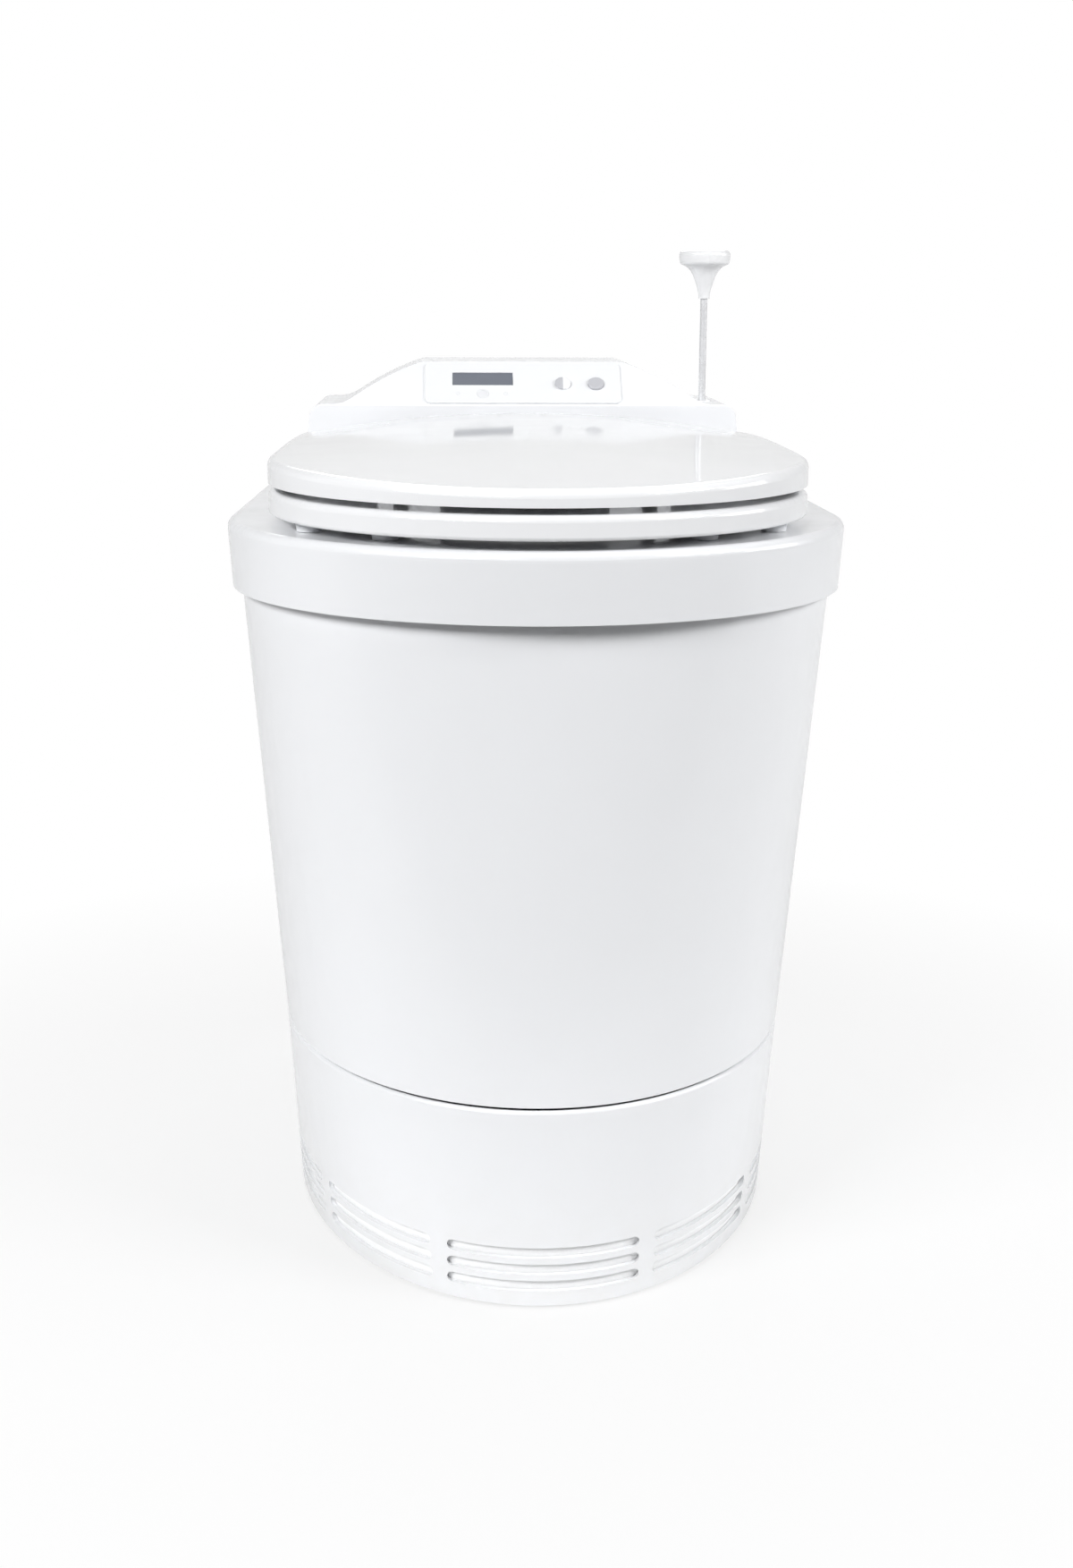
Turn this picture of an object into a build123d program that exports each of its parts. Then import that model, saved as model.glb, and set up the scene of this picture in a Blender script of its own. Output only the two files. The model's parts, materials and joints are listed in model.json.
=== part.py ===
from build123d import *
from math import acos, atan2, cos, degrees, hypot, pi, radians, sin, sqrt, tan
import os

# An incinerating toilet. X runs to the right as seen from the front, Y to the back, Z up.
# The origin is on the floor, under the middle of the overall width and depth.

# Overall sizes, in millimetres
overall_width = 390.0
overall_depth = 600.0
deck_top = 470.6
console_top = 556.4
back_y = 265.0

# Clearances shared by the pieces
running_fit = 0.08
slip = 0.3
panel_gap = 1.0

# Top collar: a deck with a deep rim that caps the body
collar_height = 41.6
collar_draft = 2.2
collar_band = 6.5
collar_wall = 4.0
deck_thickness = 4.0
collar_edge_round = 5.0
collar_reach = 190.0
collar_back_half = 185.0
collar_overhang = 8.0
seat_overhang = 3.0
rear_corner = 22.0

# Body shell, which narrows downwards
shell_wall = 3.0
shell_top = 452.0
shell_bottom = 134.5
shell_top_half = 188.4
shell_top_reach = 174.0
shell_top_inset = 13.0
shell_bottom_half = 169.0
shell_bottom_reach = 214.0
shell_bottom_inset = 22.0
shell_back_narrowing = 11.0
shell_flange = 14.0
shell_flange_thickness = 3.0

# Base skirt: the front is the drawer front, the rear half is fixed
skirt_wall = 3.0
skirt_top = 133.0
skirt_bottom = 2.0
skirt_top_half = 169.0
skirt_top_reach = 217.0
skirt_top_inset = 19.6
skirt_bottom_half = 164.0
skirt_bottom_reach = 243.0
skirt_bottom_inset = 28.0
skirt_lip_round = 2.0
skirt_seam_y = -14.0
skirt_tab_width = 24.0
skirt_tab_places = [30.0, 180.0]

# Vent slots in the skirt, in rows, between posts that stand at distances along the curve
slot_height = 7.0
slot_rows = [15.5, 26.8, 38.1]
slot_post = 13.0
slot_post_places = [66.0, 184.5, 303.0]

# Chassis
foot_height = 6.0
foot_radius = 14.0
front_foot = (75.0, -185.0)
rear_foot = (122.0, 215.0)
floor_pan_thickness = 2.0
floor_pan_lip = 9.0
chassis_inset = 6.0
chassis_sheet = 2.0
channel_x = 126.0
channel_flange = 10.0
channel_front = -120.0
channel_back = 225.0
firebox_deck_thickness = 3.0
ash_hole_radius = 98.0

# Ash drawer
pan_half_width = 104.0
pan_length = 230.0
pan_top = 104.0
pan_bottom = 26.0
pan_wall = 1.5
pan_taper = 8.0
pan_rim = 6.0
pan_corner = 18.0
slide_depth = 14.5
slide_sheet = 3.5
slide_front = -190.0
slide_back = 130.0
rail_front = -172.0
rail_back = 165.0
rail_sheet = 3.0
bracket_half = 45.0
bracket_low = 60.0
bracket_high = 90.0
bracket_wall = 2.5

# Fire box
bowl_y = -94.0
chamber_radius = 118.0
chamber_wall = 2.5
chamber_height = 105.5
insulation_thickness = 20.0
heat_shield_wall = 1.5
cover_thickness = 3.0
throat_radius = 80.0
grate_thickness = 4.0
grate_slot = 8.0
heater_ring_radius = 92.0
heater_tube_radius = 4.0
heater_drop = 18.0
heater_lead_spacing = 24.0
terminal_block = 18.0
probe_radius = 3.0

# Bowl and the two hatches under it
bowl_wall = 1.5
bowl_flange = 14.0
bowl_top_half = 112.0
bowl_top_reach = 133.0
bowl_outlet_radius = 74.0
bowl_outlet_z = 338.0
gasket_thickness = 1.0
hatch_axis_z = 330.0
hatch_axis_x = 80.0
hatch_angle = 78.0
hatch_half_length = 76.0
hatch_sheet = 2.0
hatch_lift = 5.5
shaft_radius = 5.0
hub_wall = 2.0
hub_length = 60.0
frame_half_x = 97.0
frame_half_y = 84.0
frame_sheet = 3.0

# Gear train from the plunger to the hatches
gear_module = 2.5
sector_teeth = 64
pinion_teeth = 32
idler_teeth = 16
gear_width = 7.0
gear_backlash = 0.3
pressure_angle = 20.0
sector_spare = 9.0
idler_pin_radius = 3.0
rack_back = 5.0
bracket_sheet = 3.0

# Plunger with its knob
rod_x = 137.0
rod_y = 160.0
rod_radius = 2.6
knob_radius = 19.0
knob_height = 35.0
knob_top = 638.0
bush_radius = 5.0
bush_flange_radius = 6.5
bush_flange_thickness = 1.0

# Console
console_front_y = 120.0
console_half_base = 163.5
console_half_shoulder = 158.0
console_corner = 9.0
shoulder_top = 526.9
console_flat_half = 75.0
console_ogee = [(141.0, 0.0), (124.0, 6.0), (104.0, 17.6), (84.0, 26.4)]
console_slant_depth = 33.0
console_back_y = 245.0
console_wall = 3.0

# Control panel on the slanted face
panel_half = 73.1
panel_thickness = 1.5
display_width = 44.8
display_height = 12.6
button_radius = 5.9
button_travel = 1.5
button_height = 2.0
button_depth = 5.5
button_flange = 1.6
dot_radius = 1.3
ring_radius = 4.3
board_depth = 9.0
board_thickness = 1.6

# Places on the panel: distance to the right of its middle, and up its slope
display_place = (-30.0, 3.5)
dot_places = [(-48.6, -11.5), (-13.1, -11.5)]
ring_place = (-30.0, -11.5)
start_place = (29.7, -2.0)
stop_place = (54.4, -2.0)
board_posts = [(-66.0, 14.0), (-66.0, -14.0), (66.0, 14.0), (66.0, -14.0)]

# Seat and lid
seat_bottom = 476.5
seat_thickness = 14.3
seat_half = 167.0
seat_reach = 166.0
seat_back_half = 157.5
seat_back_y = 72.0
seat_hole_half = 106.0
seat_hole_front = 138.0
seat_hole_back = 116.0
seat_edge_round = 4.0
seat_bumper_places = [(138.0, -200.0), (92.0, -240.0)]
lid_gap = 4.0
lid_front_top = 504.5
lid_back_top = 522.5
lid_back_y = 93.0
lid_crowns = {-306.0: 1.5, -180.0: 3.2, -60.0: 7.0, 40.0: 12.5, 99.0: 20.0}
lid_wall = 4.5
lid_round = 5.0
hinge_y = 81.0
hinge_z = 487.0
hinge_x = 84.0
hinge_pin_radius = 4.0
hinge_barrel_radius = 8.0
ear_width = 11.0
lug_width = 8.0
bracket_base = 3.5
bracket_margin = 1.5
notch_margin = 3.0

# Flue at the back, in line with the fire box
flue_z = 195.0
catalyst_front = 52.0
catalyst_sleeve = 8.0
duct_radius = 36.0
duct_wall = 1.5
catalyst_radius = 50.0
catalyst_length = 64.0
fan_radius = 56.0
fan_wall = 2.0
fan_length = 74.0
fan_blades = 7
fan_hub_radius = 24.0
fan_tip_gap = 1.5
spigot_radius = 50.0
spigot_wall = 2.0

# Back panel
back_opening_half = 138.0
back_opening_bottom = 142.0
back_opening_top = 418.0
back_panel_margin = 6.0
back_panel_thickness = 2.0
screw_head_radius = 3.8
screw_head_height = 2.2
inlet_x = -100.0
inlet_z = 180.0

collar_front = -overall_depth / 2 + seat_overhang
chamber_bottom = shell_bottom
chamber_top = chamber_bottom + chamber_height
lid_bottom = seat_bottom + seat_thickness + lid_gap

low_end = (Align.CENTER, Align.CENTER, Align.MIN)


def outline(half, reach, centre_y, back_half, rear_y, corner):
    """Face seen from above: half an ellipse in front, tapering sides, a flat back with round corners."""
    with BuildSketch() as sketch:
        with BuildLine():
            EllipticalCenterArc((0, centre_y), half, reach, start_angle=180, arc_size=180)
            Polyline((half, centre_y), (back_half, rear_y), (-back_half, rear_y), (-half, centre_y))
        make_face()
        fillet([v for v in sketch.vertices() if v.Y > rear_y - 0.1], corner)
    return sketch.sketch


def body_section(half, reach, inset, shrink):
    """Outline of the body at one height, drawn in on every side by shrink."""
    centre_y = collar_front + inset + reach
    return outline(
        half - shrink,
        reach - shrink,
        centre_y,
        half - shell_back_narrowing - shrink,
        back_y - shrink,
        rear_corner - shrink,
    )


def taper_between(low, low_z, high, high_z):
    """Solid between two faces of the same make."""
    return loft([Pos(0, 0, low_z) * low, Pos(0, 0, high_z) * high], ruled=True)


def tube(outer_radius, inner_radius, length):
    """Tube that stands on the XY plane."""
    ring = Circle(outer_radius) - Circle(inner_radius)
    return extrude(ring, length)


def along_y(shape, x, y, z):
    """Turn a piece drawn along Z so that it runs to the back, and put its start at the place."""
    return Pos(x, y, z) * Rot(-90, 0, 0) * shape


def block(x0, x1, y0, y1, z0, z1):
    """Plain block between two corners."""
    return Pos((x0 + x1) / 2, (y0 + y1) / 2, (z0 + z1) / 2) * Box(x1 - x0, y1 - y0, z1 - z0)


def both_sides(shape):
    """The piece and its mirror image on the other side."""
    return [shape, shape.mirror(Plane.YZ)]


def one_node(shapes):
    """Several separate solids that share a node."""
    solids = [solid for shape in shapes for solid in shape.solids()]
    return Compound(children=solids)


# Shell and skirt

def shell_section(z, shrink=0.0):
    """Outline of the body shell at a height, by straight taper."""
    share = (z - shell_bottom) / (shell_top - shell_bottom)
    half = shell_bottom_half + share * (shell_top_half - shell_bottom_half)
    reach = shell_bottom_reach + share * (shell_top_reach - shell_bottom_reach)
    inset = shell_bottom_inset + share * (shell_top_inset - shell_bottom_inset)
    return body_section(half, reach, inset, shrink)


def skirt_section(z, shrink=0.0):
    """Outline of the base skirt at a height, by straight taper."""
    share = (z - skirt_bottom) / (skirt_top - skirt_bottom)
    half = skirt_bottom_half + share * (skirt_top_half - skirt_bottom_half)
    reach = skirt_bottom_reach + share * (skirt_top_reach - skirt_bottom_reach)
    inset = skirt_bottom_inset + share * (skirt_top_inset - skirt_bottom_inset)
    return body_section(half, reach, inset, shrink)


def shell_solid(shrink):
    """Everything inside the shell's outline, drawn in by shrink."""
    low, high = shell_section(shell_bottom, shrink), shell_section(shell_top, shrink)
    return taper_between(low, shell_bottom, high, shell_top)


def skirt_solid(shrink):
    """Everything inside the skirt's outline, drawn in by shrink."""
    low, high = skirt_section(skirt_bottom, shrink), skirt_section(skirt_top, shrink)
    return taper_between(low, skirt_bottom, high, skirt_top)


def make_body_shell():
    """Tapered shell with an inward flange at the bottom and a service opening at the back."""
    ring = shell_section(shell_bottom, shell_wall / 2)
    ring -= shell_section(shell_bottom, shell_wall + shell_flange)
    flange = extrude(Pos(0, 0, shell_bottom) * ring, shell_flange_thickness)
    half = back_opening_half
    opening = block(-half, half, back_y - 20, back_y + 20, back_opening_bottom, back_opening_top)
    return shell_solid(0) - shell_solid(shell_wall) + flange - opening


def slot_cutters():
    """Stadium cutters that stand square to the curve of the skirt, row by row."""
    centre_y = collar_front + skirt_bottom_inset + skirt_bottom_reach
    ends = [0.0] + slot_post_places
    spans = [(-ends[1], ends[1])]
    for near, far in zip(ends[1:], ends[2:]):
        spans += [(near, far), (-far, -near)]
    cutters = []
    for start, end in spans:
        x, y, turn = place_on_skirt((start + end) / 2, centre_y)
        length = end - start - slot_post
        for z in slot_rows:
            stadium = extrude(SlotOverall(length, slot_height), 60, both=True)
            cutters.append(Pos(x, y, z) * Rot(0, 0, turn) * Rot(90, 0, 0) * stadium)
    return cutters


def place_on_skirt(distance, centre_y):
    """Point of the lower skirt edge at a distance along it from the front, and the turn of its face."""
    steps = 400
    angle, travelled = 0.0, 0.0
    step = pi / 2 / steps
    while travelled < abs(distance):
        middle = angle + step / 2
        travelled += step * hypot(skirt_bottom_half * cos(middle), skirt_bottom_reach * sin(middle))
        angle += step
    side = 1 if distance >= 0 else -1
    x = side * skirt_bottom_half * sin(angle)
    y = centre_y - skirt_bottom_reach * cos(angle)
    turn = degrees(atan2(skirt_bottom_reach * sin(angle), skirt_bottom_half * cos(angle)))
    return x, y, side * turn


def make_skirt():
    """Whole skirt with its lip round, before it is parted into drawer front and rear skirt."""
    outer = skirt_solid(0)
    lip = [e for e in outer.edges() if e.bounding_box().min.Z > skirt_top - 0.1]
    return fillet(lip, skirt_lip_round) - skirt_solid(skirt_wall)


def make_drawer_front():
    """Front half of the skirt, with the vent slots."""
    rear = block(-300, 300, skirt_seam_y - panel_gap / 2, 400, -10, 300)
    return make_skirt() - rear - slot_cutters()


def make_rear_skirt():
    """Fixed rear half of the skirt, with six tabs that meet the lip of the floor pan."""
    front = block(-300, 300, -400, skirt_seam_y + panel_gap / 2, -10, 300)
    low = foot_height + floor_pan_thickness
    face = skirt_section(low, skirt_wall - 1) - skirt_section(foot_height, skirt_wall + chassis_inset)
    ring = extrude(Pos(0, 0, low) * face, floor_pan_lip - floor_pan_thickness)
    half = skirt_tab_width / 2
    tabs = []
    for y in skirt_tab_places:
        tabs.append(ring & block(-300, 300, y - half, y + half, 0, 100))
    for x in (-front_foot[0], front_foot[0]):
        tabs.append(ring & block(x - half, x + half, back_y - 30, back_y, 0, 100))
    return make_skirt() - front + tabs


# Chassis and drawer

def make_floor_pan():
    """Base plate inside the skirt, with a lip turned up round its rear half."""
    inset = skirt_wall + chassis_inset
    face = skirt_section(foot_height, inset)
    inside = skirt_section(foot_height, inset + chassis_sheet)
    plate = extrude(Pos(0, 0, foot_height) * face, floor_pan_thickness)
    lip = extrude(Pos(0, 0, foot_height) * (face - inside), floor_pan_lip)
    drawer_gate = block(-300, 300, -400, skirt_seam_y, foot_height + floor_pan_thickness, 200)
    return plate + (lip - drawer_gate)


def make_feet():
    """Four rubber feet, slightly tapered."""
    feet = []
    for x, y in (front_foot, rear_foot):
        foot = Pos(x, y, foot_height / 2) * Cone(foot_radius - 1.5, foot_radius, foot_height)
        feet += both_sides(foot)
    return one_node(feet)


def make_chassis_channels():
    """Two upright sheet channels with lightening holes and a rail each, which carry the fire box deck."""
    low = foot_height + floor_pan_thickness
    high = shell_bottom - firebox_deck_thickness
    inner, outer = channel_x, channel_x + channel_flange
    web = block(inner, inner + chassis_sheet, channel_front, channel_back, low, high)
    foot_flange = block(inner, outer, channel_front, channel_back, low, low + chassis_sheet)
    head_flange = block(inner, outer, channel_front, channel_back, high - chassis_sheet, high)
    holes = []
    for share in (0.18, 0.5, 0.82):
        y = channel_front + share * (channel_back - channel_front)
        holes.append(Pos(inner, y, (low + pan_top) / 2 - 10) * Rot(0, 90, 0) * Cylinder(22, 20))
    return one_node(both_sides(web + foot_flange + head_flange - holes + make_rail()))


def make_firebox_deck():
    """Plate that carries the fire box, the shell and the flue, with the hole that ash falls through."""
    face = shell_section(shell_bottom, shell_wall + chassis_inset)
    face -= Pos(0, bowl_y) * Circle(ash_hole_radius)
    deck = extrude(Pos(0, 0, shell_bottom - firebox_deck_thickness) * face, firebox_deck_thickness)
    return deck + make_saddles()


def pan_solid(shrink):
    """Tapered body of the ash pan, drawn in by shrink."""
    width, length = 2 * pan_half_width, pan_length
    top = RectangleRounded(width - 2 * shrink, length - 2 * shrink, pan_corner)
    low_width, low_length = width - 2 * pan_taper - 2 * shrink, length - 2 * pan_taper - 2 * shrink
    low = RectangleRounded(low_width, low_length, pan_corner)
    return Pos(0, bowl_y, 0) * taper_between(low, pan_bottom + shrink, top, pan_top)


def make_ash_pan():
    """Open steel tray with tapered walls and a rim."""
    rim = RectangleRounded(2 * (pan_half_width + pan_rim), pan_length, pan_corner)
    rim = Pos(0, bowl_y, pan_top - pan_wall) * extrude(rim, pan_wall)
    cavity = pan_solid(pan_wall) + Pos(0, bowl_y, pan_top - pan_wall) * extrude(
        RectangleRounded(2 * (pan_half_width - pan_wall), pan_length - 2 * pan_wall, pan_corner), pan_wall
    )
    return pan_solid(0) + rim - cavity


def make_drawer_slides():
    """Two angled slides that hang under the pan rim."""
    top = pan_top - pan_wall
    low = top - slide_depth
    inner = pan_half_width + 0.5
    web = block(inner, inner + slide_sheet, slide_front, slide_back, low, top)
    runner = block(inner, channel_x - rail_sheet - slip, slide_front, slide_back, low, low + slide_sheet)
    return one_node(both_sides(web + runner))


def make_rail():
    """Angle rail welded to a channel, which a slide runs on."""
    high = pan_top - pan_wall - slide_depth - slip
    low = high - rail_sheet
    ledge = block(pan_half_width + 4, channel_x, rail_front, rail_back, low, high)
    side = block(channel_x - rail_sheet, channel_x, rail_front, rail_back, low, pan_top)
    return ledge + side


def make_drawer_bracket():
    """Folded bracket between the pan and the curved inside of the drawer front."""
    low, high = bracket_low, bracket_high
    front = collar_front - 10
    back = bowl_y - pan_length / 2 + pan_taper
    outer = block(-bracket_half, bracket_half, front, back, low, high)
    inner_half = bracket_half - bracket_wall
    inner = block(-inner_half, inner_half, front, back, low - 1, high - bracket_wall)
    return ((outer - inner) & skirt_solid(skirt_wall)) - pan_solid(0)


# Fire box

insulation_inner = chamber_radius + slip
insulation_outer = insulation_inner + insulation_thickness
shield_inner = insulation_outer + slip
shield_outer = shield_inner + heat_shield_wall
heater_z = chamber_top - heater_drop


def firebox_bores(clearance):
    """Bores for the flue stub, the heater leads and the probe, shared by the layers of the fire box."""
    bores = [along_y(Cylinder(duct_radius + clearance, 200, align=low_end), 0, bowl_y, flue_z)]
    for side in (-1, 1):
        lead = Rot(0, 90, 0) * Cylinder(heater_tube_radius + clearance, 200, align=low_end)
        bores.append(Pos(0, bowl_y + side * heater_lead_spacing / 2, heater_z) * lead)
    probe = Rot(0, -90, 0) * Cylinder(probe_radius + clearance, 200, align=low_end)
    bores.append(Pos(0, bowl_y, heater_z) * probe)
    return bores


def make_fire_chamber():
    """Drum with a ledge for the grate and a stub for the flue."""
    drum = tube(chamber_radius, chamber_radius - chamber_wall, chamber_height)
    ledge = tube(chamber_radius, ash_hole_radius, chamber_wall)
    drum = Pos(0, bowl_y, chamber_bottom) * (drum + ledge)
    stub_end = catalyst_front + catalyst_sleeve
    room = Pos(0, bowl_y, chamber_bottom) * Cylinder(chamber_radius - 1, chamber_height, align=low_end)
    stub = along_y(Cylinder(duct_radius, stub_end - bowl_y, align=low_end), 0, bowl_y, flue_z) - room
    bore = along_y(Cylinder(duct_radius - duct_wall, 400, align=low_end), 0, bowl_y, flue_z)
    return drum + stub - bore - firebox_bores(slip)[1:]


def make_insulation():
    """Ring of insulation round the drum."""
    ring = tube(insulation_outer, insulation_inner, chamber_height - 2 * slip)
    return Pos(0, bowl_y, chamber_bottom + slip) * ring - firebox_bores(slip)


def make_heat_shield():
    """Thin sheet drum round the insulation."""
    ring = tube(shield_outer, shield_inner, chamber_height - 2 * slip)
    return Pos(0, bowl_y, chamber_bottom + slip) * ring - firebox_bores(slip)


def make_firebox_cover():
    """Ring plate on the drum, with the throat under the hatches."""
    return Pos(0, bowl_y, chamber_top) * tube(shield_outer, throat_radius, cover_thickness)


def make_grate():
    """Round grate with parallel slots on the ledge of the drum."""
    radius = chamber_radius - chamber_wall - slip
    disc = Circle(radius)
    pitch = 2.4 * grate_slot
    for row in range(-4, 5):
        length = 2 * sqrt((radius - 14) ** 2 - (row * pitch) ** 2)
        disc -= Pos(row * pitch, 0) * Rot(0, 0, 90) * SlotOverall(length, grate_slot)
    return Pos(0, bowl_y, chamber_bottom + chamber_wall) * extrude(disc, grate_thickness)


def make_heater():
    """Ring of sheathed heating tube with two straight leads."""
    ring = Torus(heater_ring_radius, heater_tube_radius)
    start = heater_ring_radius - 2
    length = shield_outer + terminal_block * 0.6 - start
    for side in (-1, 1):
        lead = Pos(start, side * heater_lead_spacing / 2, 0) * Rot(0, 90, 0)
        ring += lead * Cylinder(heater_tube_radius, length, align=low_end)
    return Pos(0, bowl_y, heater_z) * ring


def make_heater_terminal():
    """Ceramic block that the two leads end in, against the heat shield."""
    x0, x1 = shield_outer, shield_outer + terminal_block
    half = heater_lead_spacing
    body = block(x0, x1, bowl_y - half, bowl_y + half, heater_z - 9, heater_z + 9)
    body = fillet(body.edges().filter_by(Axis.X), 3)
    return body - firebox_bores(running_fit)[1:3]


def make_probe():
    """Temperature probe with a hexagon head outside the heat shield."""
    tip = -(heater_ring_radius + heater_tube_radius + 6)
    rod = Cylinder(probe_radius, shield_outer + 8 + tip, align=low_end)
    rod = Pos(tip, bowl_y, heater_z) * Rot(0, -90, 0) * rod
    hexagon = extrude(RegularPolygon(7, 6), 6)
    return rod + Pos(-shield_outer - slip, bowl_y, heater_z) * Rot(0, -90, 0) * hexagon


# Bowl and hatches

def make_bowl():
    """Bowl that narrows from an oval mouth to a round outlet, with a flange."""
    top = deck_top + gasket_thickness
    outer = loft(
        [
            Pos(0, bowl_y, bowl_outlet_z) * Circle(bowl_outlet_radius + bowl_wall),
            Pos(0, bowl_y, top) * Ellipse(bowl_top_half + bowl_wall, bowl_top_reach + bowl_wall),
        ],
        ruled=True,
    )
    inner = loft(
        [
            Pos(0, bowl_y, bowl_outlet_z) * Circle(bowl_outlet_radius),
            Pos(0, bowl_y, top) * Ellipse(bowl_top_half, bowl_top_reach),
        ],
        ruled=True,
    )
    mouth = Ellipse(bowl_top_half, bowl_top_reach)
    rim = Ellipse(bowl_top_half + bowl_flange, bowl_top_reach + bowl_flange) - mouth
    return outer - inner + Pos(0, bowl_y, top) * extrude(rim, bowl_wall)


def make_bowl_gasket():
    """Flat gasket between the bowl flange and the deck."""
    edge = bowl_flange - 1
    ring = Ellipse(bowl_top_half + edge, bowl_top_reach + edge)
    ring -= Ellipse(bowl_top_half + bowl_wall + 1, bowl_top_reach + bowl_wall + 1)
    return Pos(0, bowl_y, deck_top) * extrude(ring, gasket_thickness)


def make_hatch(side):
    """Half-round flap on a hub; side is 1 on the right and -1 on the left."""
    half = Circle(bowl_outlet_radius + 2.5) & Pos(60.4, 0) * Rectangle(120, 2 * hatch_half_length + 6)
    plate = Pos(0, 0, hatch_lift) * extrude(half, hatch_sheet)
    rib = block(6, hatch_axis_x - 4, -1.5, 1.5, hatch_lift - 6, hatch_lift)
    hub_radius = shaft_radius + hub_wall
    hub = along_y(Cylinder(hub_radius, hub_length, align=low_end), hatch_axis_x, -hub_length / 2, 0)
    bore = Cylinder(shaft_radius, hub_length + 20, align=low_end)
    bore = along_y(bore, hatch_axis_x, -hub_length / 2 - 10, 0)
    flap = plate + rib + hub - bore
    if side < 0:
        flap = flap.mirror(Plane.YZ)
    return Pos(0, bowl_y, hatch_axis_z) * flap


def make_hatch_frame():
    """Four-walled frame on the fire box cover, open above and below, that carries both shafts."""
    low, high = chamber_top + cover_thickness, bowl_outlet_z - 1.5
    outer = Rectangle(2 * frame_half_x + 2 * frame_sheet, 2 * frame_half_y + 2 * frame_sheet)
    inner = Rectangle(2 * frame_half_x, 2 * frame_half_y)
    frame = Pos(0, bowl_y, low) * extrude(outer - inner, high - low)
    bore = Cylinder(shaft_radius + running_fit, 400, align=low_end)
    for side in (-1, 1):
        frame -= along_y(bore, side * hatch_axis_x, bowl_y - 200, hatch_axis_z)
    return frame


def make_shaft(side, end_y):
    """Hatch shaft from before the front wall of the frame to its end behind."""
    start = bowl_y - frame_half_y - frame_sheet - 3
    shaft = Cylinder(shaft_radius, end_y - start, align=low_end)
    return along_y(shaft, side * hatch_axis_x, start, hatch_axis_z)


# Gears

pitch_radius = {teeth: gear_module * teeth / 2 for teeth in (sector_teeth, pinion_teeth, idler_teeth)}
rack_line_x = rod_x - 4
idler_x = rack_line_x - pitch_radius[idler_teeth]
idler_distance = pitch_radius[pinion_teeth] + pitch_radius[idler_teeth]
idler_z = hatch_axis_z + sqrt(idler_distance**2 - (idler_x - hatch_axis_x) ** 2)
idler_bearing = degrees(atan2(idler_z - hatch_axis_z, idler_x - hatch_axis_x))
plunger_travel = pitch_radius[pinion_teeth] * radians(hatch_angle)
sector_y = bowl_y + bowl_top_reach + bowl_wall + 2
pinion_y = rod_y - gear_width / 2
addendum = 0.9 * gear_module
dedendum = 1.2 * gear_module


def gear_outline(teeth, tooth_angle, first, last, centred):
    """Involute teeth from number first to last; a sector also runs to the gear's centre."""
    pitch = pitch_radius[teeth]
    base = pitch * cos(radians(pressure_angle))
    root, tip = pitch - dedendum, pitch + addendum
    half_tooth = pi / 2 / teeth - gear_backlash / 4 / pitch
    involute = tan(radians(pressure_angle)) - radians(pressure_angle)
    steps = 4
    start = max(base, root)
    flank = [(root, half_tooth + involute)] if root < base else []
    for n in range(steps + 1):
        radius = start + (tip - start) * n / steps
        roll = acos(base / radius)
        flank.append((radius, half_tooth + involute - (tan(roll) - roll)))
    points = [(0, 0)] if centred else []
    for tooth in range(first, last + 1):
        middle = radians(tooth_angle + tooth * 360 / teeth)
        for radius, offset in flank:
            points.append((radius * cos(middle - offset), radius * sin(middle - offset)))
        for radius, offset in reversed(flank):
            points.append((radius * cos(middle + offset), radius * sin(middle + offset)))
    return Polygon(*points, align=None)


def upright(face, x, y, z, thickness):
    """Plate from a face drawn as seen from the front, with its front side at y."""
    return Pos(x, y, z) * extrude(Plane.XZ * face, -thickness)


def make_sector(side):
    """Toothed sector on a hatch shaft; the two sectors mesh between the shafts."""
    pitch_angle = 360 / sector_teeth
    if side > 0:
        tooth_angle = 180.0
        first, last = -int((hatch_angle + sector_spare) / pitch_angle), int(sector_spare / pitch_angle)
    else:
        tooth_angle = pitch_angle / 2
        first, last = -int(sector_spare / pitch_angle) - 1, int((hatch_angle + sector_spare) / pitch_angle)
    face = gear_outline(sector_teeth, tooth_angle, first, last, True)
    face += Circle(shaft_radius + 7)
    face -= Circle(shaft_radius)
    window = Pos(*sector_window(tooth_angle, first, last)) * Circle(17)
    return upright(face - window, side * hatch_axis_x, sector_y, hatch_axis_z, gear_width)


def sector_window(tooth_angle, first, last):
    """Place of the lightening hole, in the middle of a sector."""
    middle = radians(tooth_angle + (first + last) / 2 * 360 / sector_teeth)
    return 46 * cos(middle), 46 * sin(middle)


def make_pinion():
    """Pinion at the back of the right hatch shaft."""
    face = gear_outline(pinion_teeth, idler_bearing, 0, pinion_teeth - 1, False) - Circle(shaft_radius)
    return upright(face, hatch_axis_x, pinion_y, hatch_axis_z, gear_width)


def make_idler():
    """Idler between the rack and the pinion."""
    face = gear_outline(idler_teeth, idler_bearing + 180 + 180 / idler_teeth, 0, idler_teeth - 1, False)
    face -= Circle(idler_pin_radius + running_fit)
    return upright(face, idler_x, pinion_y, idler_z, gear_width)


def make_idler_pin():
    """Headed pin that the idler turns on."""
    back = bracket_y + bracket_sheet
    head_y = pinion_y - slip - 2
    head = along_y(Cylinder(idler_pin_radius + 2, 2, align=low_end), idler_x, head_y, idler_z)
    pin = Cylinder(idler_pin_radius, back - head_y, align=low_end)
    return head + along_y(pin, idler_x, head_y, idler_z)


bracket_y = pinion_y + gear_width + 4.5


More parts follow.
